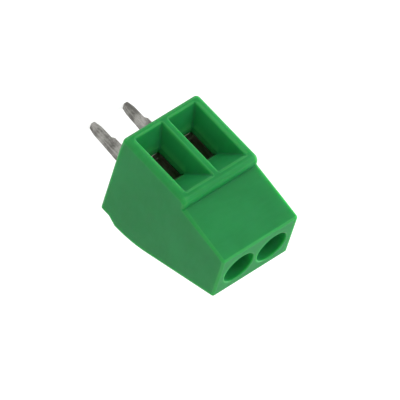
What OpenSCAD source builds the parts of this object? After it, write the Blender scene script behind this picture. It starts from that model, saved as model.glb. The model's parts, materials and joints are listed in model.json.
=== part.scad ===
// Two-pole screw terminal for a printed circuit board, rising-clamp type.
// The board plane is z = 0. The wire entries face -Y, the screws are reached from +Z,
// and the origin lies midway between the two solder pins. Lengths are in millimetres.

/* [Terminal] */
// Distance between the two poles
pitch = 2.54; // [2.5:0.01:3.5]
// Distance from a pole's centre plane to the outside of the side wall
end_margin = 1.63; // [1.45:0.01:2.2]
// Play between a metal piece and the plastic around it
fit_gap = 0.06; // [0.04:0.01:0.1]

/* [Housing] */
// Height of the housing above the board
body_h = 9.2; // [9:0.05:10.5]
// Depth of the housing from the front wall to the widest part of the back
body_depth = 7.15; // [6.8:0.05:8]
// Distance from the front wall back to the centre of the solder pins
pin_setback = 3.9; // [3.7:0.05:4]
// Height of the lip that closes the wire entries at the top
lip_h = 5.46; // [5.3:0.02:6]
// Height of the flat front face of the lip above the wire entry
lip_face = 0.58; // [0.5:0.02:0.9]
// How far the sloping front starts behind the lip
lip_step = 0.66; // [0.4:0.02:0.8]
// How far the top face starts behind the front wall
top_setback = 1.4; // [1.2:0.05:1.5]
// Lean of the back wall from upright, in degrees
back_lean = 20; // [14:0.5:21]
// Radius that blends the leaning back wall into its upright foot
back_r = 7.7; // [4:0.1:9]
// Height at which the back wall becomes upright
back_upright_h = 1.3; // [1:0.05:1.6]
// Height of the set-in edge along the bottom of the back
heel_h = 0.72; // [0.4:0.02:0.9]
// How far that bottom edge is set in
heel_inset = 0.33; // [0.1:0.01:0.5]
// Radius of the front edges, upright and along the sole
front_edge_r = 0.28; // [0.1:0.02:0.4]
// Radius of the upper edge of the lip
lip_r = 0.38; // [0.1:0.02:0.5]
// Radius of the edges round the top
top_edge_r = 0.16; // [0.05:0.01:0.3]

/* [Wire entry] */
// Width of the funnel at the front wall
entry_w = 2.12; // [1.8:0.02:2.14]
// Height of the lower edge of the funnel at the front wall
entry_sill = 0.42; // [0.3:0.02:0.6]
// Depth of the funnel
entry_depth = 1.45; // [1.3:0.05:1.5]
// Width of the slot at the bottom of the funnel
slot_w = 1.3; // [1.1:0.02:1.4]
// Height of the upper edge of the slot
slot_top = 3.26; // [3.2:0.02:3.5]

/* [Screw] */
// Distance from the front wall back to the screw's axis
screw_setback = 3.15; // [3.1:0.05:3.2]
// Diameter of the screw head
head_d = 2; // [1.8:0.02:2.1]
// Height of the screw head
head_h = 0.95; // [0.8:0.05:1]
// Depth of the screw head's top below the top of the housing
head_drop = 1.4; // [1.35:0.05:1.4]
// Diameter of the threaded shank, measured halfway up its thread
thread_d = 1.5; // [1.4:0.02:1.54]
// Advance of the thread in one turn
thread_lead = 0.35; // [0.3:0.01:0.4]
// Length of the tapered tip of the shank
tip_h = 0.3; // [0.1:0.05:0.4]
// Diameter of the undercut below the head
neck_d = 1.2; // [1:0.02:1.3]
// Height of that undercut
neck_h = 0.3; // [0.15:0.05:0.4]
// Width of the driver slot
driver_w = 0.36; // [0.3:0.02:0.5]
// Depth of the driver slot
driver_depth = 0.5; // [0.3:0.05:0.6]
// Angle at which each screw's slot has come to stand, in degrees
driver_turn = [24, -38]; // [-90:90]
// Radial play of the screw head in its bore
head_play = 0.1; // [0.05:0.01:0.12]

/* [Clamp] */
// Number of screw turns between fully open and fully closed
clamp_turns = 5.5; // [4:0.5:5.5]
// Width of the clamp
clamp_w = 2.1; // [2:0.02:2.12]
// Length of the clamp along the wire
clamp_len = 2.4; // [2.2:0.05:2.4]
// Thickness of the clamp's threaded top wall
nut_t = 1; // [0.8:0.05:1]
// Thickness of the clamp's side walls
clamp_side_t = 0.24; // [0.18:0.01:0.24]
// Thickness of the clamp's floor
clamp_floor_t = 0.42; // [0.35:0.01:0.45]
// Radial play between the screw and the clamp's threaded hole
thread_gap = 0.05; // [0.03:0.01:0.08]
// Radius of the clamp's rolled lengthwise edges
clamp_edge_r = 0.14; // [0.05:0.01:0.2]
// Height of one ridge that grips the wire
ridge_h = 0.06; // [0.03:0.01:0.1]

/* [Contact] */
// Thickness of the contact strip
strip_t = 0.45; // [0.35:0.01:0.5]
// Width of the contact bar inside the clamp
bar_w = 1.3; // [1.1:0.02:1.4]
// Height of the bar's end that shows below the upper edge of the slot
bar_show = 0.13; // [0.1:0.01:0.3]
// Length of the bar's end that rests in the front wall
bar_rest = 0.25; // [0.15:0.05:0.3]
// Inside radius of the bends
bend_r = 0.15; // [0.1:0.01:0.25]
// Height of the foot of the contact above the board
foot_h = 0.12; // [0.05:0.01:0.2]
// Width of the solder pin at the board
pin_w = 0.8; // [0.7:0.02:0.9]
// Width of the solder pin's narrow lower part
pin_low_w = 0.52; // [0.46:0.02:0.66]
// Length of the solder pin below the board
pin_len = 3.4; // [3:0.1:4]
// Distance of the pin's shoulder above its tip
shoulder_up = 1.4; // [1.1:0.05:1.9]
// Width of the pin's rounded tip
pin_tip_w = 0.3; // [0.26:0.02:0.4]
// Length of the pin's tapered tip
pin_tip_h = 0.5; // [0.3:0.05:0.8]

/* [Hidden] */
$fn = 48;
arc_steps = 8;
cut = 1;                                     // how far a cut runs past an open face

width = pitch + 2 * end_margin;
pole_x = [-pitch / 2, pitch / 2];
front_y = -pin_setback;
back_y = front_y + body_depth;
screw_y = front_y + screw_setback;

// Heights, from the contact bar up and down
bar_z = slot_top - bar_show;                 // underside of the contact bar
bar_top = bar_z + strip_t;
clamp_travel = clamp_turns * thread_lead;
clamp_nut_z = bar_top + fit_gap;             // underside of the threaded wall, clamp open
clamp_top = clamp_nut_z + nut_t;
clamp_floor_top = bar_z - clamp_travel - fit_gap - ridge_h;
clamp_floor_z = clamp_floor_top - clamp_floor_t;
screw_tip_z = bar_top + fit_gap / 2;
head_top = body_h - head_drop;
head_z = head_top - head_h;
chamber_top = clamp_top + clamp_travel + fit_gap;

// Depths, from the screw's axis out
clamp_front = screw_y - clamp_len / 2;
clamp_back = screw_y + clamp_len / 2;
chamber_front = clamp_front - fit_gap;
chamber_back = clamp_back + fit_gap;
leg_front = clamp_back + 1.5 * fit_gap;      // the contact's upright leg, behind the clamp
leg_back = leg_front + strip_t;
funnel_end = front_y + entry_depth;
bar_front = chamber_front - bar_rest;
chamber_w = clamp_w + 2 * fit_gap;
entry_top = lip_h - lip_face;

// ---- Outlines with rounded corners -------------------------------------------------

function unit(v) = v / norm(v);

// Points of the arc of radius r that rounds the corner b between a and c
function fillet(a, b, c, r) =
    let (u = unit(a - b), v = unit(c - b),
         half = acos(u * v) / 2,
         mid = b + unit(u + v) * r / sin(half),
         p = b + u * r / tan(half) - mid,
         q = b + v * r / tan(half) - mid,
         sweep = acos(unit(p) * unit(q)),
         side = cross(p, q) > 0 ? 1 : -1)
    [for (i = [0:arc_steps])
        let (t = side * sweep * i / arc_steps)
        mid + [p[0] * cos(t) - p[1] * sin(t), p[0] * sin(t) + p[1] * cos(t)]];

// Outline from corners given as [[x, y], radius]; radius 0 keeps the corner sharp
function rounded(corners) =
    let (n = len(corners))
    [for (i = [0:n - 1])
        let (a = corners[(i + n - 1) % n][0], b = corners[i], c = corners[(i + 1) % n][0])
        each (b[1] > 0 ? fillet(a, b[0], c, b[1]) : [b[0]])];

// Extrudes an outline in the YZ plane along X, centred on x = 0
module along_x(w) rotate([90, 0, 90]) linear_extrude(w, center = true) children();

// Extrudes an outline in the XZ plane along Y, from y0 to y1
module along_y(y0, y1) translate([0, y1, 0]) rotate([90, 0, 0]) linear_extrude(y1 - y0) children();

// Block with its lowest corner at a and its highest corner at b
module block(a, b) translate(a) cube(b - a);

// ---- Housing -----------------------------------------------------------------------

// Side view: flat sole, upright front with its lip, sloping front, top, leaning back
back_corner_z = back_upright_h + back_r * tan(back_lean / 2);
top_back_y = back_y - (body_h - back_corner_z) * tan(back_lean);
side_outline = rounded([
    [[front_y, 0], front_edge_r],
    [[front_y, lip_h], lip_r],
    [[front_y + lip_step, lip_h], 0],
    [[front_y + top_setback, body_h], top_edge_r],
    [[top_back_y, body_h], top_edge_r],
    [[back_y, back_corner_z], back_r],
    [[back_y, back_upright_h], 0],
    [[back_y - heel_inset, heel_h], 0],
    [[back_y - heel_inset, 0], top_edge_r]]);

// Plan view: rectangle with rounded front edges
plan_outline = rounded([
    [[-width / 2, front_y], front_edge_r],
    [[width / 2, front_y], front_edge_r],
    [[width / 2, back_y], top_edge_r],
    [[-width / 2, back_y], top_edge_r]]);

// Front view: rectangle with rounded edges along the top
front_outline = rounded([
    [[-width / 2, 0], 0],
    [[width / 2, 0], 0],
    [[width / 2, body_h], top_edge_r],
    [[-width / 2, body_h], top_edge_r]]);

module housing_block() intersection() {
    along_x(width) polygon(side_outline);
    linear_extrude(body_h) polygon(plan_outline);
    along_y(front_y, back_y) polygon(front_outline);
}

// Funnel that leads the wire in: its floor, roof and two cheeks all slope towards the slot
module wire_funnel() {
    flare_side = (entry_w - slot_w) / 2 / entry_depth;
    flare_sill = (clamp_floor_top - entry_sill) / entry_depth;
    flare_roof = (entry_top - slot_top) / entry_depth;
    intersection() {
        along_x(entry_w + 2 * cut) polygon([
            [front_y - cut, entry_sill - flare_sill * cut],
            [funnel_end, clamp_floor_top],
            [funnel_end, slot_top],
            [front_y - cut, entry_top + flare_roof * cut]]);
        linear_extrude(lip_h + cut) polygon([
            [-entry_w / 2 - flare_side * cut, front_y - cut],
            [entry_w / 2 + flare_side * cut, front_y - cut],
            [slot_w / 2, funnel_end],
            [-slot_w / 2, funnel_end]]);
    }
}

// Slot from the bottom of the funnel into the clamp's chamber
module wire_slot()
    block([-slot_w / 2, funnel_end - fit_gap, clamp_floor_top], [slot_w / 2, chamber_front + cut, slot_top]);

// Chamber for the clamp, open through the sole, with room for the contact's leg and foot
module clamp_chamber() {
    block([-chamber_w / 2, chamber_front, -cut], [chamber_w / 2, chamber_back, chamber_top]);
    block([-chamber_w / 2, chamber_front, -cut], [chamber_w / 2, leg_back, bar_top + fit_gap]);
}

// Notch in the front wall that carries the end of the contact bar
module bar_notch()
    block([-bar_w / 2 - fit_gap / 2, bar_front - fit_gap / 2, bar_z],
          [bar_w / 2 + fit_gap / 2, chamber_front + cut, bar_top]);

// Bore that guides the screw head and lets the screwdriver in, from the chamber to the top
module screw_bore() translate([0, screw_y, chamber_top - cut])
    cylinder(h = body_h - chamber_top + 2 * cut, d = head_d + 2 * head_play);

module housing() color([0.13, 0.55, 0.29]) difference() {
    housing_block();
    for (x = pole_x) translate([x, 0, 0]) {
        wire_funnel();
        wire_slot();
        clamp_chamber();
        bar_notch();
        screw_bore();
    }
}

// ---- Screw -------------------------------------------------------------------------

// Slotted head with a broken edge, undercut, shank and tapered tip, turned as one piece
module screw(turn) color([0.72, 0.73, 0.74]) translate([0, screw_y, 0]) rotate(turn) difference() {
    edge = head_h / 10;
    rotate_extrude() polygon([
        [0, screw_tip_z],
        [thread_d / 2 - tip_h / 2, screw_tip_z],
        [thread_d / 2, screw_tip_z + tip_h],
        [thread_d / 2, head_z - neck_h],
        [neck_d / 2, head_z - neck_h / 2],
        [neck_d / 2, head_z],
        [head_d / 2, head_z],
        [head_d / 2, head_top - edge],
        [head_d / 2 - edge, head_top],
        [0, head_top]]);
    block([-head_d, -driver_w / 2, head_top - driver_depth], [head_d, driver_w / 2, head_top + cut]);
}

// ---- Clamp -------------------------------------------------------------------------

// Rectangular sleeve, open along the wire, with a threaded top wall and a ridged floor
module clamp() color([0.78, 0.76, 0.70]) {
    inner_w = clamp_w - 2 * clamp_side_t;
    difference() {
        along_y(clamp_front, clamp_back) polygon(rounded([
            [[-clamp_w / 2, clamp_floor_z], clamp_edge_r],
            [[clamp_w / 2, clamp_floor_z], clamp_edge_r],
            [[clamp_w / 2, clamp_top], clamp_edge_r],
            [[-clamp_w / 2, clamp_top], clamp_edge_r]]));
        block([-inner_w / 2, clamp_front - cut, clamp_floor_top], [inner_w / 2, clamp_back + cut, clamp_nut_z]);
        translate([0, screw_y, clamp_nut_z - cut]) cylinder(h = nut_t + 2 * cut, d = thread_d + 2 * thread_gap);
    }
    ridge_step = clamp_len / 4;
    for (i = [1:3]) let (y = clamp_front + i * ridge_step)
        along_x(inner_w) polygon([
            [y - ridge_h, clamp_floor_top],
            [y + ridge_h, clamp_floor_top],
            [y, clamp_floor_top + ridge_h]]);
}

// ---- Contact -----------------------------------------------------------------------

// Side view of the bent strip: bar over the wire, leg behind the clamp, foot, solder pin
contact_path = let (r = bend_r, t = strip_t) rounded([
    [[bar_front, bar_z], 0],
    [[leg_front, bar_z], r],
    [[leg_front, foot_h + t], r],
    [[-t / 2, foot_h + t], r + t],
    [[-t / 2, -pin_len], 0],
    [[t / 2, -pin_len], 0],
    [[t / 2, foot_h], r],
    [[leg_back, foot_h], r + t],
    [[leg_back, bar_top], r + t],
    [[bar_front, bar_top], 0]]);

// Front view of the solder pin: wide at the board, a shoulder on one side, a rounded tip
module pin_outline() {
    root_z = foot_h + strip_t + bend_r;
    tip_r = pin_tip_w / 4;
    polygon(rounded([
        [[-pin_w / 2, root_z], 0],
        [[pin_w / 2, root_z], 0],
        [[pin_w / 2, -pin_w / 2], 0],
        [[pin_low_w / 2, -pin_len + pin_tip_h], pin_tip_h / 2],
        [[pin_tip_w / 2, -pin_len], tip_r],
        [[-pin_tip_w / 2, -pin_len], tip_r],
        [[-pin_low_w / 2, -pin_len + pin_tip_h], pin_tip_h / 2],
        [[-pin_low_w / 2, -pin_len + shoulder_up], tip_r],
        [[-pin_w / 2, -pin_len + shoulder_up + strip_t / 3], tip_r]]));
}

module contact() color([0.62, 0.60, 0.56]) intersection() {
    along_x(chamber_w) polygon(contact_path);
    union() {
        // Bar and upright leg keep the bar's width
        block([-bar_w / 2, bar_front - cut, foot_h + strip_t / 2], [bar_w / 2, leg_back + cut, bar_top + cut]);
        // The foot spans the chamber and is pressed between its walls
        block([-chamber_w / 2, strip_t / 2 + bend_r, foot_h - cut],
              [chamber_w / 2, leg_back + cut, foot_h + strip_t + bend_r]);
        along_y(-strip_t, leg_back) pin_outline();
    }
}

module screw_1() translate([pole_x[0], 0, 0]) screw(driver_turn[0]);
module screw_2() translate([pole_x[1], 0, 0]) screw(driver_turn[1]);
module clamp_1() translate([pole_x[0], 0, 0]) clamp();
module clamp_2() translate([pole_x[1], 0, 0]) clamp();
module contact_1() translate([pole_x[0], 0, 0]) contact();
module contact_2() translate([pole_x[1], 0, 0]) contact();

housing();
screw_1();
screw_2();
clamp_1();
clamp_2();
contact_1();
contact_2();
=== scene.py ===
import json
import logging
import math
from dataclasses import dataclass, field
from enum import Enum
from typing import Any

import bmesh
import bpy
import numpy as np
from mathutils import Matrix, Vector


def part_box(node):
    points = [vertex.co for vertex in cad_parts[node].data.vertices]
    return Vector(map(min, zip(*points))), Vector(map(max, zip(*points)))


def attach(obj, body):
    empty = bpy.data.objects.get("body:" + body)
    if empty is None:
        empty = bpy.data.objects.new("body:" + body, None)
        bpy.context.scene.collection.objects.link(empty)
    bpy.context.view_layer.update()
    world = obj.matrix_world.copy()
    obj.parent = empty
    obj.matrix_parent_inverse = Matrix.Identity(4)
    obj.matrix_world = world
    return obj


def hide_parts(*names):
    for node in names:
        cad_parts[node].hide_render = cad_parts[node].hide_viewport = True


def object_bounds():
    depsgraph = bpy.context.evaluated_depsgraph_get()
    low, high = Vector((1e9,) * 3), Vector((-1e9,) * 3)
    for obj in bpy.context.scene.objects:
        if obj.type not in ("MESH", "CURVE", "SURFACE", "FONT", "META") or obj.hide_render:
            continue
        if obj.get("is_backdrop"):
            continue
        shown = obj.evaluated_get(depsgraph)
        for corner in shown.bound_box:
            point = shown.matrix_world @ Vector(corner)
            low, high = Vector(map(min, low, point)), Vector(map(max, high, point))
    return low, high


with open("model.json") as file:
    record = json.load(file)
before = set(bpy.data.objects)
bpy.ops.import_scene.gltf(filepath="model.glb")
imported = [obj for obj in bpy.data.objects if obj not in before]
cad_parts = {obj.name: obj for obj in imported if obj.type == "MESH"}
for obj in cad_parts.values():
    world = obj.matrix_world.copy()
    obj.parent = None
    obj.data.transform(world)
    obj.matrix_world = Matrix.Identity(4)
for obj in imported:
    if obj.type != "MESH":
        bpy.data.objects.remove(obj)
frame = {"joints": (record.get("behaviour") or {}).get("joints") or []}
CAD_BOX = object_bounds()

Array = np.ndarray
MM = 0.001  # shapes are worked out in millimetres and written to their meshes in metres
MERGE_BLOCK = 0.6  # width of the blocks in which flat faces are merged
FLAT_DEGREES = 0.25  # faces that meet at less than this are one flat face
EDGE_DATA = "edge"  # name of the meshes' attribute that holds the curvature
FLOOR_CELLS = 8  # squares along one side of the floor
log = logging.getLogger("screw_terminal")


class Axis(Enum):
    """The three axes of the part's frame, as columns of a point array."""

    X = 0
    Y = 1
    Z = 2


# ---- Distance fields ---------------------------------------------------------------


def meet(radius: float | Array, *parts: Array) -> Array:
    """Intersects solids and rounds the edges between them.

    Each part is a distance, negative inside. Where several surfaces lie within the radius, the
    result is the length of the vector of their distances to surfaces sunk by the radius, less the
    radius. That is a round edge between two parts and a ball corner between three.

    Args:
        radius: radius of the edges, one value or one for each point.
        parts: distances to the parts.

    Returns:
        Distances to the common solid.
    """
    deepest = parts[0]
    over = np.maximum(parts[0] + radius, 0.0) ** 2
    for part in parts[1:]:
        deepest = np.maximum(deepest, part)
        over = over + np.maximum(part + radius, 0.0) ** 2
    return np.sqrt(over) - radius + np.minimum(deepest + radius, 0.0)


def join(radius: float | Array, *parts: Array) -> Array:
    """Unites solids and fills the corners between them.

    It is the intersection of the spaces outside the parts, turned back.

    Args:
        radius: radius of the fillets.
        parts: distances to the parts, negative inside.

    Returns:
        Distances to the united solid.
    """
    return -meet(radius, *[-part for part in parts])


def slab(value: Array, low: float, high: float) -> Array:
    """Distance to the space between two values along an axis."""
    return np.maximum(low - value, value - high)


@dataclass(frozen=True)
class Outline:
    """A closed flat outline, given by its corners as (u, v, radius)."""

    corners: tuple[tuple[float, float, float], ...]
    arc_steps: int = 9

    def points(self) -> Array:
        """Works out the outline with its corners rounded.

        A corner's circle touches both sides. The vectors from its centre to the two touching
        points are blended with sine weights, which walks along the arc at an even pace.

        Returns:
            The outline's points, one row each.
        """
        table = np.array(self.corners)
        at, radius = table[:, :2], table[:, 2:]
        back = np.roll(at, 1, 0) - at
        ahead = np.roll(at, -1, 0) - at
        back /= np.linalg.norm(back, axis=1, keepdims=True)
        ahead /= np.linalg.norm(ahead, axis=1, keepdims=True)
        half = np.arccos(np.sum(back * ahead, 1, keepdims=True)) / 2
        halfway = (back + ahead) / np.linalg.norm(back + ahead, axis=1, keepdims=True)
        centre = at + halfway * radius / np.sin(half)
        reach = radius / np.tan(half)
        start, finish = at + back * reach - centre, at + ahead * reach - centre
        share = np.linspace(0.0, 1.0, self.arc_steps)[None, :, None]
        turn = (math.pi - 2 * half)[:, None, :]
        arc = np.sin((1 - share) * turn) * start[:, None] + np.sin(share * turn) * finish[:, None]
        rows = (centre[:, None] + arc / np.sin(turn)).reshape(-1, 2)
        moved = np.linalg.norm(rows - np.roll(rows, 1, 0), axis=1)
        return rows[moved > 1e-9]

    def distance(self, u: Array, v: Array) -> Array:
        """Measures how far points lie outside the outline.

        The nearest point of each side comes from the share of the way along it, kept within the
        side. A point is inside where a ray from it crosses an odd number of sides.

        Args:
            u: first coordinates.
            v: second coordinates.

        Returns:
            Distances, negative inside.
        """
        rows = self.points()
        shape = np.broadcast(u, v).shape
        nearest = np.full(shape, np.inf)
        inside = np.zeros(shape, bool)
        for (pu, pv), (qu, qv) in zip(rows, np.roll(rows, -1, 0)):
            du, dv = qu - pu, qv - pv
            along = np.clip(((u - pu) * du + (v - pv) * dv) / (du * du + dv * dv), 0.0, 1.0)
            gap = (u - pu - along * du) ** 2 + (v - pv - along * dv) ** 2
            nearest = np.minimum(nearest, gap)
            if dv:
                inside ^= ((pv > v) != (qv > v)) & (u < pu + (v - pv) * du / dv)
        return np.where(inside, -1.0, 1.0) * np.sqrt(nearest)


class Solid:
    """A solid given by a distance in millimetres. A subclass says what it is."""

    def distance(self, x: Array, y: Array, z: Array) -> Array:
        """Distance to the solid, negative inside."""
        raise NotImplementedError

    def at(self, points: Array) -> Array:
        """Distances at an array of points, one row each."""
        return self.distance(points[:, 0], points[:, 1], points[:, 2])

    def slope(self, points: Array, step: float = 1e-3) -> Array:
        """Gradient of the distance, from the change over a short step along each axis.

        Args:
            points: where it is wanted, one row each.
            step: length of the step.

        Returns:
            One gradient a row.
        """
        reach = np.eye(3) * step
        return np.stack([self.at(points + r) - self.at(points - r) for r in reach], 1) / (2 * step)

    def bend(self, points: Array, step: float = 0.03) -> Array:
        """Curvature of the surface, positive on outer edges and negative in inner corners.

        It is the sum of the second differences of the distance along the three axes.

        Args:
            points: where it is wanted, one row each.
            step: length of the step.

        Returns:
            One curvature a point, in 1/mm.
        """
        reach = np.eye(3) * step
        around = sum(self.at(points + r) + self.at(points - r) for r in reach)
        return (around - 6 * self.at(points)) / step**2


def surface_net(solid: Solid, low: Array, high: Array, step: float) -> tuple[Array, Array]:
    """Lays a closed net of quads over a solid.

    The distance is sampled on a grid. Each cell that the surface passes through holds one vertex,
    at first at the mean of the crossings on its edges, and then moved along the gradient by
    distance over slope until it lies on the surface. Each grid edge that the surface crosses
    joins the vertices of the four cells around it into one quad, turned to face outwards.

    Args:
        solid: the solid.
        low: lowest corner of its box.
        high: highest corner of its box.
        step: width of a cell.

    Returns:
        Vertices, and quads of vertex numbers.
    """
    lines = [np.arange(a - 1.5 * step, b + 2.5 * step, step) for a, b in zip(low, high)]
    values = solid.distance(*np.meshgrid(*lines, indexing="ij", sparse=True))
    inside = values < 0
    cells = tuple(n - 1 for n in values.shape)
    corners = [(i, j, k) for i in (0, 1) for j in (0, 1) for k in (0, 1)]

    def corner(block: Array, c: tuple[int, int, int]) -> Array:
        """The block's values at one corner of every cell."""
        return block[tuple(slice(o, o + n) for o, n in zip(c, cells))]

    count = sum(corner(inside, c).astype(np.int8) for c in corners)
    active = (count > 0) & (count < 8)
    number = np.full(cells, -1)
    number[active] = np.arange(active.sum())
    home = np.argwhere(active)

    total = np.zeros((len(home), 3))
    hits = np.zeros(len(home))
    for a in corners:
        for axis in Axis:
            if a[axis.value]:
                continue
            way = np.eye(3)[axis.value]
            b = tuple(int(o + w) for o, w in zip(a, way))
            fa, fb = corner(values, a)[active], corner(values, b)[active]
            crossed = (fa < 0) != (fb < 0)
            share = np.where(crossed, fa / np.where(crossed, fa - fb, 1.0), 0.0)
            total += (np.array(a) + share[:, None] * way) * crossed[:, None]
            hits += crossed
    origin = np.array([line[0] for line in lines])
    points = origin + (home + total / hits[:, None]) * step
    floor, roof = origin + (home - 0.2) * step, origin + (home + 1.2) * step
    for _ in range(2):
        grade = solid.slope(points)
        push = solid.at(points) / np.maximum(np.sum(grade**2, 1), 0.25)
        points = np.clip(points - grade * push[:, None], floor, roof)

    quads = []
    for axis in Axis:
        d, e, f = axis.value, (axis.value + 1) % 3, (axis.value + 2) % 3
        keep = [slice(1, -1)] * 3
        keep[d] = slice(0, -1)
        near = inside[tuple(keep)]
        keep[d] = slice(1, None)
        far = inside[tuple(keep)]
        for crossing, order in ((near & ~far, (0, 1, 2, 3)), (far & ~near, (3, 2, 1, 0))):
            cell = np.argwhere(crossing)
            cell[:, [e, f]] += 1
            e_way, f_way = np.eye(3, dtype=int)[e], np.eye(3, dtype=int)[f]
            ring = [cell, cell - e_way, cell - e_way - f_way, cell - f_way]
            quads.append(np.stack([number[tuple(ring[n].T)] for n in order], 1))
    return points, np.concatenate(quads)


def net_object(name: str, solid: Solid, low: Array, high: Array, step: float) -> bpy.types.Object:
    """Makes a piece from a solid.

    Flat stretches of the net are merged into few faces, block by block, so that no face grows
    large. Vertex normals come from the solid's gradient, and an attribute holds the
    curvature of the surface.

    Args:
        name: name of the piece.
        solid: the solid.
        low: lowest corner of its box, in millimetres.
        high: highest corner of its box.
        step: width of a grid cell.

    Returns:
        The new object, linked to the scene.
    """
    points, quads = surface_net(solid, low, high, step)
    mesh = bpy.data.meshes.new(name)
    mesh.from_pydata(points, [], quads.tolist())
    block = np.floor(points[quads].mean(1) / MERGE_BLOCK).astype(np.int32)
    mesh.polygons.foreach_set("material_index", block.sum(1) % 2)
    bm = bmesh.new()
    bm.from_mesh(mesh)
    limit = math.radians(FLAT_DEGREES)
    bmesh.ops.dissolve_limit(
        bm, angle_limit=limit, verts=bm.verts, edges=bm.edges, delimit={"MATERIAL"}
    )
    bmesh.ops.triangulate(bm, faces=[f for f in bm.faces if len(f.verts) > 4])
    bm.to_mesh(mesh)
    bm.free()
    mesh.polygons.foreach_set("material_index", np.zeros(len(mesh.polygons), np.int32))
    rows = np.zeros(len(mesh.vertices) * 3, np.float32)
    mesh.vertices.foreach_get("co", rows)
    rows = rows.reshape(-1, 3).astype(float)
    bend = mesh.attributes.new(EDGE_DATA, "FLOAT", "POINT")
    bend.data.foreach_set("value", solid.bend(rows).astype(np.float32))
    normals = solid.slope(rows)
    normals /= np.linalg.norm(normals, axis=1, keepdims=True)
    mesh.vertices.foreach_set("co", (rows * MM).astype(np.float32).ravel())
    mesh.polygons.foreach_set("use_smooth", np.ones(len(mesh.polygons), bool))
    mesh.normals_split_custom_set_from_vertices(normals)
    mesh.update()
    piece = bpy.data.objects.new(name, mesh)
    bpy.context.scene.collection.objects.link(piece)
    return piece


# ---- Shader kit --------------------------------------------------------------------


@dataclass(frozen=True)
class Signal:
    """One value in a shader. Arithmetic on it adds the Math nodes that do it."""

    tree: bpy.types.NodeTree
    socket: bpy.types.NodeSocket

    def _math(self, operation: str, *values: "Signal | float") -> "Signal":
        """Adds one Math node on the values."""
        settings = {"operation": operation}
        return Shader(self.tree).node("ShaderNodeMath", settings, dict(enumerate(values)))

    def __add__(self, other: "Signal | float") -> "Signal":
        """Sum."""
        return self._math("ADD", self, other)

    __radd__ = __add__

    def __sub__(self, other: "Signal | float") -> "Signal":
        """Difference."""
        return self._math("SUBTRACT", self, other)

    def __rsub__(self, other: float) -> "Signal":
        """Difference from a number."""
        return self._math("SUBTRACT", other, self)

    def __mul__(self, other: "Signal | float") -> "Signal":
        """Product."""
        return self._math("MULTIPLY", self, other)

    __rmul__ = __mul__

    def sine(self) -> "Signal":
        """Sine."""
        return self._math("SINE", self)

    def between(self, low: float, high: float) -> "Signal":
        """Rises smoothly from 0 at low to 1 at high, or falls where low is the larger."""
        settings = {"interpolation_type": "SMOOTHSTEP", "clamp": True}
        values = {"Value": self, "From Min": low, "From Max": high}
        return Shader(self.tree).node("ShaderNodeMapRange", settings, values)


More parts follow.
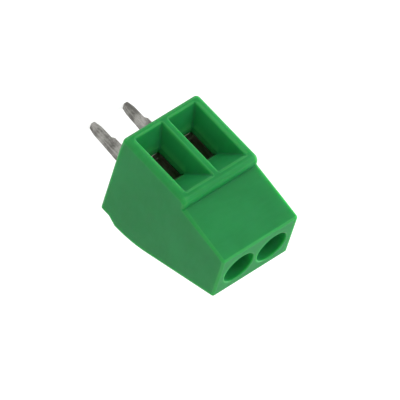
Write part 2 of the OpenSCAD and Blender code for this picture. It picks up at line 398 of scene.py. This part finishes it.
class Shader:
    """Adds nodes to one node tree."""

    def __init__(self, tree: bpy.types.NodeTree) -> None:
        """Starts on a tree."""
        self.tree = tree

    def node(
        self,
        kind: str,
        settings: dict[str, Any] | None = None,
        inputs: dict[str | int, Any] | None = None,
        output: str | int = 0,
    ) -> Signal:
        """Adds a node.

        Args:
            kind: Blender's name for its type.
            settings: its settings, which are set before its sockets; "stops" are a ramp's.
            inputs: a value or a signal for each socket, by name or number.
            output: the socket that the result stands for.

        Returns:
            The signal of that output.
        """
        made = self.tree.nodes.new(kind)
        for key, value in (settings or {}).items():
            if key == "stops":
                self._set_stops(made.color_ramp, value)
            else:
                setattr(made, key, value)
        for key, value in (inputs or {}).items():
            socket = made.inputs[key]
            if isinstance(value, Signal):
                self.tree.links.new(value.socket, socket)
            else:
                socket.default_value = value
        return Signal(self.tree, made.outputs[output] if len(made.outputs) else None)

    @staticmethod
    def _set_stops(ramp: bpy.types.ColorRamp, stops: list[tuple[float, tuple[float, ...]]]) -> None:
        """Gives a ramp its stops, each a position and a colour."""
        while len(ramp.elements) < len(stops):
            ramp.elements.new(1.0)
        for element, (position, colour) in zip(ramp.elements, stops):
            element.position = position
            element.color = colour

    def place(self, centre: Array | tuple[float, float, float] = (0.0, 0.0, 0.0)) -> Signal:
        """Gives a point's place on the piece.

        Args:
            centre: the place, in millimetres, from which it is counted.

        Returns:
            The place in millimetres.
        """
        place = self.node("ShaderNodeTexCoord", output="Object")
        away = [-c * MM for c in centre]
        moved = self.node("ShaderNodeMapping", {}, {"Vector": place, "Location": away})
        scale = {0: moved, "Scale": 1 / MM}
        return self.node("ShaderNodeVectorMath", {"operation": "SCALE"}, scale)

    def stretch(self, place: Signal, by: tuple[float, float, float]) -> Signal:
        """A place with each axis multiplied by its own factor."""
        return self.node("ShaderNodeVectorMath", {"operation": "MULTIPLY"}, {0: place, 1: by})

    def noise(self, place: Signal, size: float, detail: float = 2.0, rough: float = 0.5) -> Signal:
        """Soft noise from 0 to 1.

        Args:
            place: the place in millimetres.
            size: width of one blot in millimetres.
            detail: number of finer layers.
            rough: weight of the finer layers.

        Returns:
            The noise.
        """
        values = {"Vector": place, "Scale": 1 / size, "Detail": detail, "Roughness": rough}
        return self.node("ShaderNodeTexNoise", {}, values)

    def specks(self, place: Signal, size: float, spread: float, share: float) -> Signal:
        """Sparse round specks.

        Cells are as wide as the spread. A cell holds a speck if its random colour lies below the
        share, and the speck is 1 near the cell's centre and 0 past its size.

        Args:
            place: the place in millimetres.
            size: radius of a speck in millimetres.
            spread: width of a cell in millimetres.
            share: share of the cells that hold one.

        Returns:
            1 on a speck and 0 elsewhere.
        """
        values = {"Vector": place, "Scale": 1 / spread}
        distance = self.node("ShaderNodeTexVoronoi", {}, values, "Distance")
        colour = self.node("ShaderNodeTexVoronoi", {}, values, "Color")
        chance = self.node("ShaderNodeSeparateColor", {}, {0: colour})
        near = distance.between(size / spread, 0.5 * size / spread)
        return near * chance.between(share, 0.9 * share)

    def edges(self, low: float, high: float) -> Signal:
        """0 where the surface curves out by less than low, in 1/mm, and 1 from high upwards."""
        curvature = self.node("ShaderNodeAttribute", {"attribute_name": EDGE_DATA}, {}, "Fac")
        return curvature.between(low, high)

    def tint(self, factor: Signal, base: Any, other: Any) -> Signal:
        """Mixes two colours by a factor."""
        settings = {"data_type": "RGBA"}
        return self.node("ShaderNodeMix", settings, {0: factor, 6: base, 7: other}, 2)

    def bump(self, height: Signal, depth: float, normal: Signal | None = None) -> Signal:
        """Turns a height from 0 to 1 into a shading normal.

        Args:
            height: the height.
            depth: what a height of 1 stands for, in millimetres.
            normal: the normal of a coarser layer that this one goes on.

        Returns:
            The normal.
        """
        values = {"Strength": 1.0, "Distance": depth * MM, "Height": height}
        if normal is not None:
            values["Normal"] = normal
        return self.node("ShaderNodeBump", {}, values)


def finish_material(
    name: str, constants: dict[str, Any], changing: dict[str, Signal], shader: Shader
) -> bpy.types.Material:
    """Puts constants and signals on the material's Principled shader.

    Args:
        name: name of the material, which is the current tree's owner.
        constants: values that are the same all over.
        changing: signals that change over the surface.

    Returns:
        The material.
    """
    surface = shader.node("ShaderNodeBsdfPrincipled", {}, {**constants, **changing})
    shader.node("ShaderNodeOutputMaterial", {}, {"Surface": surface})
    return bpy.data.materials[name]


def blank_material(name: str) -> Shader:
    """Makes a material with an empty node tree.

    Args:
        name: name of the material.
    """
    material = bpy.data.materials.new(name)
    material.use_nodes = True
    material.node_tree.nodes.clear()
    return Shader(material.node_tree)


def rgb(red: float, green: float, blue: float) -> tuple[float, float, float, float]:
    """A colour written in linear light."""
    return (red, green, blue, 1.0)


# ---- Finishes ----------------------------------------------------------------------


@dataclass(frozen=True)
class MouldedNylon:
    """Green, slightly translucent plastic as it leaves the mould."""

    name: str = "green_nylon"
    deep: tuple[float, ...] = rgb(0.012, 0.262, 0.064)
    pale: tuple[float, ...] = rgb(0.017, 0.300, 0.078)
    # painted highlight: the paler green laid on rounded outer edges
    edge: tuple[float, ...] = rgb(0.060, 0.400, 0.105)
    speck: tuple[float, ...] = rgb(0.006, 0.075, 0.024)
    gloss_low: float = 0.42
    gloss_high: float = 0.58
    blot_size: float = 2.2
    flow_size: float = 0.5
    gloss_size: float = 0.8
    speck_size: float = 0.035
    speck_spread: float = 0.9
    speck_share: float = 0.09
    sink_size: float = 1.6
    sink_depth: float = 0.02
    grain_size: float = 0.035
    grain_depth: float = 0.0016
    scatter_depth: float = 1.2 * MM
    scatter_share: tuple[float, float, float] = (0.12, 1.0, 0.35)

    def material(self) -> bpy.types.Material:
        """Builds the material.

        Soft blots shift the green and the gloss, outer edges carry a painted highlight of paler
        green and are smoother, the skin has a fine grain over broad sink marks, and a few dark
        specks lie in it.

        Returns:
            The material.
        """
        shader = blank_material(self.name)
        place = shader.place()
        blots = shader.noise(place, self.blot_size, 3.0)
        flow = shader.noise(shader.stretch(place, (0.5, 0.5, 2.0)), self.flow_size, 4.0, 0.6)
        colour = shader.tint((blots * 0.7 + flow * 0.3).between(0.3, 0.7), self.deep, self.pale)
        edges = shader.edges(0.5, 7.0)
        # painted highlight: convex edges are tinted towards the paler edge green
        colour = shader.tint(edges * (0.35 + 0.3 * flow), colour, self.edge)
        dust = shader.specks(place, self.speck_size, self.speck_spread, self.speck_share)
        colour = shader.tint(dust * 0.7, colour, self.speck)
        span = self.gloss_high - self.gloss_low
        gloss = shader.noise(place, self.gloss_size, 4.0, 0.6)
        rough = self.gloss_low + span * gloss - 0.06 * edges
        grain = shader.noise(place, self.grain_size, 3.0, 0.65)
        sinks = shader.bump(shader.noise(place, self.sink_size, 1.0), self.sink_depth)
        normal = shader.bump(grain, self.grain_depth, sinks)
        constants = {
            "IOR": 1.42,
            "Specular IOR Level": 0.2,
            "Subsurface Weight": 1.0,
            "Subsurface Radius": self.scatter_share,
            "Subsurface Scale": self.scatter_depth,
        }
        changing = {"Base Color": colour, "Roughness": rough, "Normal": normal}
        return finish_material(self.name, constants, changing, shader)


@dataclass(frozen=True)
class TurnedZinc:
    """Zinc-plated steel with the fine rings that turning leaves."""

    centre: tuple[float, float, float]
    name: str = "turned_zinc"
    bright: tuple[float, ...] = rgb(0.62, 0.63, 0.64)
    dull: tuple[float, ...] = rgb(0.43, 0.44, 0.45)
    ring_turn: float = 95.0  # radians of the rings' sine over one millimetre
    ring_stray: float = 6.0  # radians by which the rings wander
    patch_size: float = 0.35
    grain_size: float = 0.03
    relief: float = 0.0022

    def material(self) -> bpy.types.Material:
        """Builds the material.

        Rings come from the sine of the distance to the screw's axis. Dull patches cover the
        bright plating, and outer edges are rubbed bright.

        Returns:
            The material.
        """
        shader = blank_material(self.name)
        place = shader.place(self.centre)
        flat = shader.stretch(place, (1.0, 1.0, 0.0))
        length = {"operation": "LENGTH"}
        radius = shader.node("ShaderNodeVectorMath", length, {0: flat}, "Value")
        stray = self.ring_stray * shader.noise(place, 0.4)
        rings = (radius * self.ring_turn + stray).sine() * 0.5 + 0.5
        patches = shader.noise(place, self.patch_size, 4.0, 0.65).between(0.38, 0.62)
        rubbed = shader.edges(2.0, 14.0)
        colour = shader.tint(patches, self.bright, self.dull)
        colour = shader.tint(rubbed * 0.6, colour, self.bright)
        rough = 0.30 + 0.16 * patches - 0.10 * rubbed + 0.05 * rings
        grain = shader.noise(place, self.grain_size, 3.0)
        normal = shader.bump(rings * 0.6 + 0.4 * grain, self.relief)
        changing = {"Base Color": colour, "Roughness": rough, "Normal": normal}
        return finish_material(self.name, {"Metallic": 1.0}, changing, shader)


@dataclass(frozen=True)
class SatinNickel:
    """Nickel plating over a drawn brass sleeve."""

    name: str = "satin_nickel"
    bright: tuple[float, ...] = rgb(0.64, 0.60, 0.54)
    warm: tuple[float, ...] = rgb(0.50, 0.45, 0.38)
    line_size: float = 0.03
    patch_size: float = 0.5
    relief: float = 0.003

    def material(self) -> bpy.types.Material:
        """Builds the material.

        Drawing lines run along the wire's direction, and warm patches show where the plating
        is thin.

        Returns:
            The material.
        """
        shader = blank_material(self.name)
        place = shader.place()
        along = shader.stretch(place, (1.0, 0.05, 1.0))
        drawn = shader.noise(along, self.line_size, 3.0, 0.6)
        patches = shader.noise(place, self.patch_size, 4.0, 0.6).between(0.35, 0.65)
        colour = shader.tint(patches, self.bright, self.warm)
        rough = 0.26 + 0.12 * drawn + 0.10 * patches
        normal = shader.bump(drawn, self.relief)
        changing = {"Base Color": colour, "Roughness": rough, "Normal": normal}
        return finish_material(self.name, {"Metallic": 1.0}, changing, shader)


@dataclass(frozen=True)
class DullTin:
    """Matt tin plating on stamped brass, greyed by handling."""

    name: str = "dull_tin"
    bright: tuple[float, ...] = rgb(0.36, 0.35, 0.33)
    grey: tuple[float, ...] = rgb(0.13, 0.125, 0.115)
    brown: tuple[float, ...] = rgb(0.15, 0.13, 0.11)
    # painted shade: dark green for the tin inside the housing, with painted green reflected light
    shade: tuple[float, ...] = rgb(0.016, 0.11, 0.026)
    streak_size: float = 0.12
    streak_depth: float = 0.006
    mottle_size: float = 0.09
    mottle_depth: float = 0.004
    tarnish_size: float = 0.9
    spot_size: float = 0.22

    def material(self) -> bpy.types.Material:
        """Builds the material.

        Long streaks and fine mottling mix bright and grey tin, brown shows in a few spots, and
        outer edges are rubbed bright. Above the board the tin is painted dark and green: painted
        shade and painted green reflection for the strip's stretch inside the housing.

        Returns:
            The material.
        """
        shader = blank_material(self.name)
        place = shader.place()
        along = shader.stretch(place, (1.0, 1.0, 0.18))
        streaks = shader.noise(along, self.streak_size, 4.0, 0.6)
        mottle = shader.noise(place, self.mottle_size, 5.0, 0.7)
        tarnish = shader.noise(place, self.tarnish_size, 3.0).between(0.35, 0.7)
        greyed = (streaks * 0.5 + mottle * 0.3 + tarnish * 0.3).between(0.3, 0.75)
        colour = shader.tint(greyed, self.bright, self.grey)
        spots = shader.noise(place, self.spot_size, 3.0).between(0.6, 0.72)
        colour = shader.tint(spots * 0.5, colour, self.brown)
        rubbed = shader.edges(4.0, 20.0)
        colour = shader.tint(rubbed * 0.45, colour, self.bright)
        # painted shade and painted green reflection, rising with height above the board
        height = shader.node("ShaderNodeSeparateXYZ", {}, {"Vector": place}, "Z")
        colour = shader.tint(height.between(0.1, 0.6) * 0.85, colour, self.shade)
        rough = 0.40 + 0.22 * greyed + 0.08 * mottle - 0.12 * rubbed
        normal = shader.bump(mottle, self.mottle_depth, shader.bump(streaks, self.streak_depth))
        changing = {"Base Color": colour, "Roughness": rough, "Normal": normal}
        return finish_material(self.name, {"Metallic": 1.0}, changing, shader)


# ---- Pieces ------------------------------------------------------------------------


def node_box(node: str) -> tuple[Array, Array]:
    """The lowest and highest corner of a CAD node, in millimetres."""
    low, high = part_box(node)
    return np.array(low) / MM, np.array(high) / MM


def travel_of(joint: str) -> float:
    """How far a sliding joint goes, in millimetres."""
    found = next(j for j in frame["joints"] if j["name"] == joint)
    return found["range_m"][1] / MM


def dress(
    piece: bpy.types.Object, material: bpy.types.Material, body: str, node: str
) -> None:
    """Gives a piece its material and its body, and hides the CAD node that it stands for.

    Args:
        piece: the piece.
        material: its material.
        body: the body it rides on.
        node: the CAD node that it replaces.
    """
    piece.data.materials.clear()
    piece.data.materials.append(material)
    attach(piece, body)
    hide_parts(node)
    log.info("%s: %d faces on %s", piece.name, len(piece.data.polygons), body)


@dataclass
class Pole(Solid):
    """What every metal piece of one pole shares: the pole's number and the places of its parts."""

    number: int
    step: float = 0.04
    lead: float = 0.35
    flank: float = 3.2
    root_share: float = 0.3

    def box_of(self, part: str) -> tuple[Array, Array]:
        """The box of this pole's clamp, screw or contact."""
        return node_box(f"{part}_{self.number}")

    def axis(self) -> Array:
        """The screw axis's place along X and Y."""
        low, high = self.box_of("screw")
        return (low + high)[:2] / 2

    def thread(self, u: Array, v: Array, z: Array) -> Array:
        """The thread's wave, 0 at its root and 1 at its crest.

        It is a triangle wave of height over lead less angle over a full turn, made steep by the
        flank's slope and cut flat at both ends.

        Args:
            u: places across the screw's axis, along X.
            v: places across it, along Y.
            z: heights.

        Returns:
            The wave.
        """
        phase = (z / self.lead - np.arctan2(v, u) / (2 * math.pi)) % 1.0
        return np.clip(np.abs(phase - 0.5) * self.flank - self.root_share, 0.0, 1.0)


@dataclass
class Screw(Pole):
    """Slotted clamping screw with a turned head and a real thread."""

    head_h: float = 0.95
    head_edge_r: float = 0.13
    neck_r: float = 0.6
    neck_h: float = 0.3
    crest_r: float = 0.79
    root_r: float = 0.65
    tip_h: float = 0.3
    tip_edge_r: float = 0.05
    neck_edge_r: float = 0.03
    seat_edge_r: float = 0.06
    slot_w: float = 0.36
    slot_depth: float = 0.5
    slot_turn: float = 0.0

    def distance(self, x: Array, y: Array, z: Array) -> Array:
        """The screw.

        The turned form is an outline of radius and height. The thread is a groove whose depth
        follows the thread's wave, on the shank alone. The driver slot is a slab across the head.

        Args:
            x: places along X.
            y: places along Y.
            z: places along Z.

        Returns:
            Distances, negative inside.
        """
        low, high = self.box_of("screw")
        u, v = x - self.axis()[0], y - self.axis()[1]
        radius = np.sqrt(u * u + v * v)
        head_r = (high[0] - low[0]) / 2
        bottom, top = low[2], high[2]
        head_z = top - self.head_h
        form = Outline((
            (-1.0, bottom, 0.0),
            (self.crest_r - self.tip_h / 2, bottom, self.tip_edge_r),
            (self.crest_r, bottom + self.tip_h, self.tip_edge_r),
            (self.crest_r, head_z - self.neck_h, self.tip_edge_r),
            (self.neck_r, head_z - self.neck_h / 2, self.neck_edge_r),
            (self.neck_r, head_z, self.neck_edge_r),
            (head_r, head_z, self.seat_edge_r),
            (head_r, top, self.head_edge_r),
            (-1.0, top, 0.0),
        )).distance(radius, z)
        wave = self.thread(u, v, z)
        groove = (radius - self.root_r - (self.crest_r - self.root_r) * wave) * 0.75
        shank = slab(z, bottom - 1.0, head_z - self.neck_h / 2)
        form = meet(0.02, form, np.maximum(groove, -1.0) + np.where(shank > 0, -9.0, 0.0))
        angle = math.radians(self.slot_turn)
        across = v * math.cos(angle) - u * math.sin(angle)
        slot = meet(0.06, np.abs(across) - self.slot_w / 2, top - self.slot_depth - z)
        return meet(0.03, form, -slot)

    def build(self) -> None:
        """Makes the screw and dresses it."""
        piece = net_object(f"clamp_screw_{self.number}", self, *self.box_of("screw"), self.step)
        finish = TurnedZinc((*self.axis(), 0.0), f"turned_zinc_{self.number}")
        node = f"screw_{self.number}"
        dress(piece, finish.material(), node, node)


@dataclass
class Clamp(Pole):
    """Rising sleeve: a threaded top wall, two thin sides and a ridged floor."""

    side_t: float = 0.24
    floor_t: float = 0.42
    nut_t: float = 1.0
    hole_r: float = 0.8
    groove: float = 0.08
    edge_r: float = 0.14
    end_edge_r: float = 0.035
    ridge_h: float = 0.06
    ridges: int = 3

    def distance(self, x: Array, y: Array, z: Array) -> Array:
        """The clamp.

        A box with rounded lengthwise edges, less the space for the wire and the threaded hole.
        The floor of that space rises in ridges, each as high as the ridge height less the
        distance to its crest.

        Args:
            x: places along X.
            y: places along Y.
            z: places along Z.

        Returns:
            Distances, negative inside.
        """
        low, high = self.box_of("clamp")
        u, v = x - self.axis()[0], y - self.axis()[1]
        half, length = (high[0] - low[0]) / 2, high[1] - low[1]
        sleeve = meet(self.edge_r, np.abs(u) - half, low[2] - z, z - high[2])
        sleeve = meet(self.end_edge_r, sleeve, slab(y, low[1], high[1]))
        pitch = length / (self.ridges + 1)
        crest = np.clip(np.round((y - low[1]) / pitch), 1, self.ridges) * pitch
        rise = np.maximum(self.ridge_h - np.abs(y - low[1] - crest), 0.0)
        floor = low[2] + self.floor_t + rise
        nut_z = high[2] - self.nut_t
        wire_space = meet(0.07, np.abs(u) - half + self.side_t, (floor - z) * 0.8, z - nut_z)
        depth = self.groove * self.thread(u, v, z)
        hole = meet(0.03, (np.sqrt(u * u + v * v) - self.hole_r - depth) * 0.8, nut_z - 0.3 - z)
        return meet(self.end_edge_r, sleeve, -join(self.end_edge_r, wire_space, hole))

    def build(self) -> None:
        """Makes the clamp and dresses it."""
        piece = net_object(f"rising_clamp_{self.number}", self, *self.box_of("clamp"), self.step)
        finish = SatinNickel(f"satin_nickel_{self.number}")
        node = f"clamp_{self.number}"
        dress(piece, finish.material(), node, node)


@dataclass
class Contact(Pole):
    """Stamped and bent strip: bar over the wire, leg, foot and solder pin."""

    strip_t: float = 0.45
    bar_w: float = 1.3
    bend_r: float = 0.15
    foot_h: float = 0.12
    foot_w: float = 2.22
    pin_w: float = 0.8
    pin_low_w: float = 0.52
    pin_tip_w: float = 0.3
    pin_tip_h: float = 0.5
    shoulder_up: float = 1.4
    edge_r: float = 0.045

    def side_view(self) -> Outline:
        """The bent strip, seen along X."""
        low, high = self.box_of("contact")
        t, r, foot = self.strip_t, self.bend_r, self.foot_h
        leg_back, bar_top = high[1], high[2]
        leg_front, bar_z = leg_back - t, bar_top - t
        return Outline((
            (low[1], bar_z, 0.0),
            (leg_front, bar_z, r),
            (leg_front, foot + t, r),
            (-t / 2, foot + t, r + t),
            (-t / 2, low[2], 0.0),
            (t / 2, low[2], 0.0),
            (t / 2, foot, r),
            (leg_back, foot, r + t),
            (leg_back, bar_top, r + t),
            (low[1], bar_top, 0.0),
        ))

    def pin_view(self) -> Outline:
        """The solder pin, seen along Y: a shoulder on one side and a rounded tip."""
        low, _ = self.box_of("contact")
        tip, tip_r = low[2], self.pin_tip_w / 4
        root = self.foot_h + self.strip_t + self.bend_r
        return Outline((
            (-self.pin_w / 2, root, 0.0),
            (self.pin_w / 2, root, 0.0),
            (self.pin_w / 2, -self.pin_w / 2, 0.2),
            (self.pin_low_w / 2, tip + self.pin_tip_h, self.pin_tip_h / 2),
            (self.pin_tip_w / 2, tip, tip_r),
            (-self.pin_tip_w / 2, tip, tip_r),
            (-self.pin_low_w / 2, tip + self.pin_tip_h, self.pin_tip_h / 2),
            (-self.pin_low_w / 2, tip + self.shoulder_up, tip_r),
            (-self.pin_w / 2, tip + self.shoulder_up + self.strip_t / 3, tip_r),
        ))

    def distance(self, x: Array, y: Array, z: Array) -> Array:
        """The contact.

        The bent strip's side view, less what the stamping's front view cuts away: the bar and
        leg keep one width, the foot is as wide as its chamber, and the pin has its own outline.

        Args:
            x: places along X.
            y: places along Y.
            z: places along Z.

        Returns:
            Distances, negative inside.
        """
        u = x - self.axis()[0]
        width = np.abs(u)
        foot_top = self.foot_h + self.strip_t + self.bend_r
        bar = np.maximum(width - self.bar_w / 2, self.foot_h + self.strip_t / 2 - z)
        foot_start = self.strip_t / 2 + self.bend_r
        foot = meet(0.08, width - self.foot_w / 2, z - foot_top, foot_start - y)
        pin = np.maximum(self.pin_view().distance(u, z), y - foot_start - self.strip_t)
        return meet(self.edge_r, self.side_view().distance(y, z), join(0.06, bar, foot, pin))

    def build(self) -> None:
        """Makes the contact and dresses it."""
        name = f"contact_strip_{self.number}"
        piece = net_object(name, self, *self.box_of("contact"), self.step)
        finish = DullTin(f"dull_tin_{self.number}")
        dress(piece, finish.material(), "root", f"contact_{self.number}")


@dataclass
class Housing(Solid):
    """Moulded body: two wire funnels, two clamp chambers open at the sole, two screw bores."""

    lip_h: float = 5.46
    lip_face: float = 0.58
    lip_step: float = 0.66
    lip_r: float = 0.38
    top_setback: float = 1.4
    back_lean: float = 20.0
    back_r: float = 7.7
    back_upright_h: float = 1.3
    heel_h: float = 0.72
    heel_inset: float = 0.33
    edge_r: float = 0.16
    front_edge_r: float = 0.3
    mouth_r: float = 0.07
    inner_r: float = 0.09
    entry_w: float = 2.12
    entry_sill: float = 0.42
    entry_depth: float = 1.45
    slot_w: float = 1.3
    slot_top: float = 3.26
    bore_r: float = 1.1
    gap: float = 0.06
    clamp_floor_t: float = 0.42
    bar_w: float = 1.3
    bar_t: float = 0.45
    overrun: float = 0.2
    back_arc_steps: int = 16
    step: float = 0.05
    box: tuple[Array, Array] = field(default_factory=lambda: node_box("housing"))
    clamp: tuple[Array, Array] = field(default_factory=lambda: node_box("clamp_2"))
    contact: tuple[Array, Array] = field(default_factory=lambda: node_box("contact_2"))
    screw: tuple[Array, Array] = field(default_factory=lambda: node_box("screw_2"))

    def side_view(self) -> Outline:
        """Outline seen along X: sole, front with its lip, sloping front, top and leaning back."""
        (_, front, sole), (_, back, top) = self.box
        lean = math.radians(self.back_lean)
        corner_z = self.back_upright_h + self.back_r * math.tan(lean / 2)
        top_back = back - (top - corner_z) * math.tan(lean)
        return Outline((
            (front, sole, self.front_edge_r),
            (front, self.lip_h, self.lip_r),
            (front + self.lip_step, self.lip_h, 0.0),
            (front + self.top_setback, top, self.edge_r),
            (top_back, top, self.edge_r),
            (back, corner_z, self.back_r),
            (back, self.back_upright_h, 0.0),
            (back - self.heel_inset, self.heel_h, 0.0),
            (back - self.heel_inset, sole, self.edge_r),
        ), self.back_arc_steps)

    def hollows(self, x: Array, y: Array, z: Array) -> Array:
        """The spaces inside, which are alike on both sides of the middle plane.

        The funnel is bounded by planes that lean inwards with depth. It runs on into the slot by
        the overrun, the slot into the clamp's chamber, and the screw's bore into the chamber from
        above. The chamber is open through the sole and has room for the contact's leg.

        Args:
            x: places along X.
            y: places along Y.
            z: places along Z.

        Returns:
            Distances, negative inside a hollow.
        """
        front = self.box[0][1]
        pole = (self.clamp[0][0] + self.clamp[1][0]) / 2
        across = np.abs(np.abs(x) - pole)
        depth = y - front
        floor_z = self.clamp[0][2] + self.clamp_floor_t
        entry_top = self.lip_h - self.lip_face
        flare = (self.entry_w - self.slot_w) / 2 / self.entry_depth
        rise = (floor_z - self.entry_sill) / self.entry_depth
        fall = (entry_top - self.slot_top) / self.entry_depth
        cheeks = (across - self.entry_w / 2 + flare * depth) / math.hypot(1, flare)
        floor = (self.entry_sill + rise * depth - z) / math.hypot(1, rise)
        roof = (z - entry_top + fall * depth) / math.hypot(1, fall)
        deep = depth - self.entry_depth - self.overrun
        funnel = meet(self.inner_r, cheeks, floor, roof, deep)
        chamber_front = self.clamp[0][1] - self.gap
        walls = across - (self.clamp[1][0] - self.clamp[0][0]) / 2 - self.gap
        slot = meet(self.inner_r, across - self.slot_w / 2, slab(z, floor_z, self.slot_top))
        slot = np.maximum(slot, y - chamber_front - self.slot_w / 2)
        chamber_top = self.clamp[1][2] + travel_of("clamp_2_lift") + self.gap
        chamber_y = slab(y, chamber_front, self.clamp[1][1] + self.gap)
        chamber = meet(self.inner_r, walls, chamber_y, z - chamber_top)
        bar_top, leg_back = self.contact[1][2], self.contact[1][1]
        leg_y = slab(y, chamber_front, leg_back)
        leg = meet(self.inner_r, walls, leg_y, z - bar_top - self.gap)
        notch_y = slab(y, self.contact[0][1] - self.gap / 2, chamber_front + self.bar_t)
        notch_z = slab(z, bar_top - self.bar_t, bar_top)
        notch = meet(0.03, across - (self.bar_w + self.gap) / 2, notch_z, notch_y)
        axis_y = (self.screw[0][1] + self.screw[1][1]) / 2
        radial = np.sqrt(across**2 + (y - axis_y) ** 2) - self.bore_r
        bore = np.maximum(radial, chamber_top - self.bore_r / 2 - z)
        return join(0.05, funnel, slot, chamber, leg, notch, bore)

    def distance(self, x: Array, y: Array, z: Array) -> Array:
        """The housing.

        The side view between the two side walls, with rounded edges that are broadest at the
        front, less the hollows, whose mouths are rounded too.

        Args:
            x: places along X.
            y: places along Y.
            z: places along Z.

        Returns:
            Distances, negative inside.
        """
        (left, front, _), (right, _, _) = self.box
        fade = [front, front + 4 * self.front_edge_r]
        radius = np.interp(y, fade, [self.front_edge_r, self.edge_r])
        body = meet(radius, self.side_view().distance(y, z), slab(x, left, right))
        return meet(self.mouth_r, body, -self.hollows(x, y, z))

    def build(self) -> None:
        """Makes the housing and dresses it."""
        piece = net_object("terminal_housing", self, *self.box, self.step)
        dress(piece, MouldedNylon().material(), "root", "housing")


# ---- Stage, light and camera -------------------------------------------------------


def direction(azimuth: float, elevation: float) -> Vector:
    """The direction from the part that lies at an azimuth from -Y towards +X and an elevation."""
    a, e = math.radians(azimuth), math.radians(elevation)
    return Vector((math.sin(a) * math.cos(e), -math.cos(a) * math.cos(e), math.sin(e)))


@dataclass(frozen=True)
class Lamp:
    """One square lamp that looks at the middle of the part.

    Its azimuth runs round the part from -Y towards +X and its elevation from the horizon, both in
    degrees. Its level is the light that it gives a surface that faces it, where 1 shows a colour as
    written. Its distance and width are in metres.
    """

    name: str
    azimuth: float
    elevation: float
    level: float
    away: float = 0.35
    size: float = 0.25

    def hang(self) -> None:
        """Makes the lamp."""
        lamp = bpy.data.lights.new(self.name, "AREA")
        lamp.size = self.size
        lamp.energy = self.level * (math.pi * self.away) ** 2
        item = bpy.data.objects.new(self.name, lamp)
        bpy.context.scene.collection.objects.link(item)
        back = direction(self.azimuth, self.elevation)
        low, high = CAD_BOX
        item.location = (low + high) / 2 + back * self.away
        item.rotation_euler = (-back).to_track_quat("-Z", "Y").to_euler()


@dataclass(frozen=True)
class Studio:
    """Pale floor, even light and soft lamps."""

    floor_size: float = 2.0
    floor_glow: float = 0.80
    floor_colour: float = 0.45
    bounce_colour: float = 0.8
    sky: float = 0.60
    lamps: tuple[Lamp, ...] = (
        Lamp("front_lamp", azimuth=-30.0, elevation=25.0, level=0.35),
        Lamp("left_lamp", azimuth=-95.0, elevation=15.0, level=0.80),
        Lamp("rear_lamp", azimuth=150.0, elevation=0.0, level=0.20),
    )

    def floor(self) -> None:
        """Lays the floor under the tips of the pins, with a rim that stays out of sight.

        For the camera and for reflections the floor glows most of the way to white and its own
        shading adds the rest, so that the part's shadow still shows.
        """
        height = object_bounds()[0].z
        row = FLOOR_CELLS + 1
        steps = np.linspace(-0.5, 0.5, row) * self.floor_size
        u, v = [g.ravel() for g in np.meshgrid(steps, steps, indexing="ij")]
        points = np.stack([u, v, np.full(u.shape, height)], 1)
        first = (np.arange(FLOOR_CELLS)[:, None] * row + np.arange(FLOOR_CELLS)).ravel()
        faces = np.stack([first, first + row, first + row + 1, first + 1], 1)
        mesh = bpy.data.meshes.new("floor")
        mesh.from_pydata(points, [], faces.tolist())
        shader = blank_material("pale_floor")
        seen = self._seen(shader)
        strength = {"Color": rgb(1, 1, 1), "Strength": seen * self.floor_glow}
        glow = shader.node("ShaderNodeEmission", {}, strength)
        unseen, shown = rgb(*[self.bounce_colour] * 3), rgb(*[self.floor_colour] * 3)
        mix = shader.tint(seen, unseen, shown)
        cloth = shader.node("ShaderNodeBsdfDiffuse", {}, {"Color": mix})
        both = shader.node("ShaderNodeAddShader", {}, {0: glow, 1: cloth})
        shader.node("ShaderNodeOutputMaterial", {}, {"Surface": both})
        mesh.materials.append(bpy.data.materials["pale_floor"])
        floor = bpy.data.objects.new("floor", mesh)
        bpy.context.scene.collection.objects.link(floor)
        floor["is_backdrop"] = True

    @staticmethod
    def _seen(shader: Shader) -> Signal:
        """1 for rays from the camera, in reflections and through clear things."""
        names = ("Is Camera Ray", "Is Glossy Ray", "Is Transmission Ray")
        camera, glossy, clear = [shader.node("ShaderNodeLightPath", output=n) for n in names]
        return (camera + glossy + clear).between(0.0, 1.0)

    def light(self) -> None:
        """Sets the even light and the lamps."""
        world = bpy.data.worlds.new("studio")
        bpy.context.scene.world = world
        world.use_nodes = True
        world.node_tree.nodes.clear()
        shader = Shader(world.node_tree)
        strength = self.sky + (1.0 - self.sky) * self._seen(shader)
        sky = {"Color": rgb(1, 1, 1), "Strength": strength}
        back = shader.node("ShaderNodeBackground", {}, sky)
        shader.node("ShaderNodeOutputWorld", {}, {"Surface": back})
        for lamp in self.lamps:
            lamp.hang()


@dataclass(frozen=True)
class Viewpoint:
    """Where the camera stands and how it is turned."""

    azimuth: float = 32.66
    elevation: float = 19.57
    roll: float = 136.14
    distance: float = 0.5684
    frame_width: float = 22.72 * MM
    aim_right: float = 1.062 * MM
    aim_up: float = -0.781 * MM
    sensor_width: float = 36.0

    def camera(self) -> None:
        """Makes the camera. Its axis passes beside the middle of the part by the aim values."""
        data = bpy.data.cameras.new("camera")
        data.sensor_width = self.sensor_width
        data.lens = self.sensor_width * self.distance / self.frame_width
        data.clip_start, data.clip_end = 0.01, 10.0
        item = bpy.data.objects.new("camera", data)
        bpy.context.scene.collection.objects.link(item)
        back = direction(self.azimuth, self.elevation)
        level_up = (Vector((0, 0, 1)) - back * back.z).normalized()
        turn = Matrix.Rotation(math.radians(self.roll), 3, back)
        up = turn @ level_up
        right = up.cross(back)
        low, high = CAD_BOX
        aim = (low + high) / 2 + right * self.aim_right + up * self.aim_up
        place = Matrix((right, up, back)).transposed().to_4x4()
        place.translation = aim + back * self.distance
        item.matrix_world = place
        bpy.context.scene.camera = item


def main() -> None:
    """Builds the part piece by piece, then its stage, light and camera."""
    logging.basicConfig(level=logging.INFO, format="%(name)s: %(message)s")
    bpy.context.scene.view_settings.view_transform = "Standard"
    Housing().build()
    for number, turn in ((1, 24.0), (2, -38.0)):
        Screw(number, slot_turn=turn).build()
        Clamp(number).build()
        Contact(number).build()
    studio = Studio()
    studio.floor()
    studio.light()
    Viewpoint().camera()


if __name__ == "__main__":
    main()
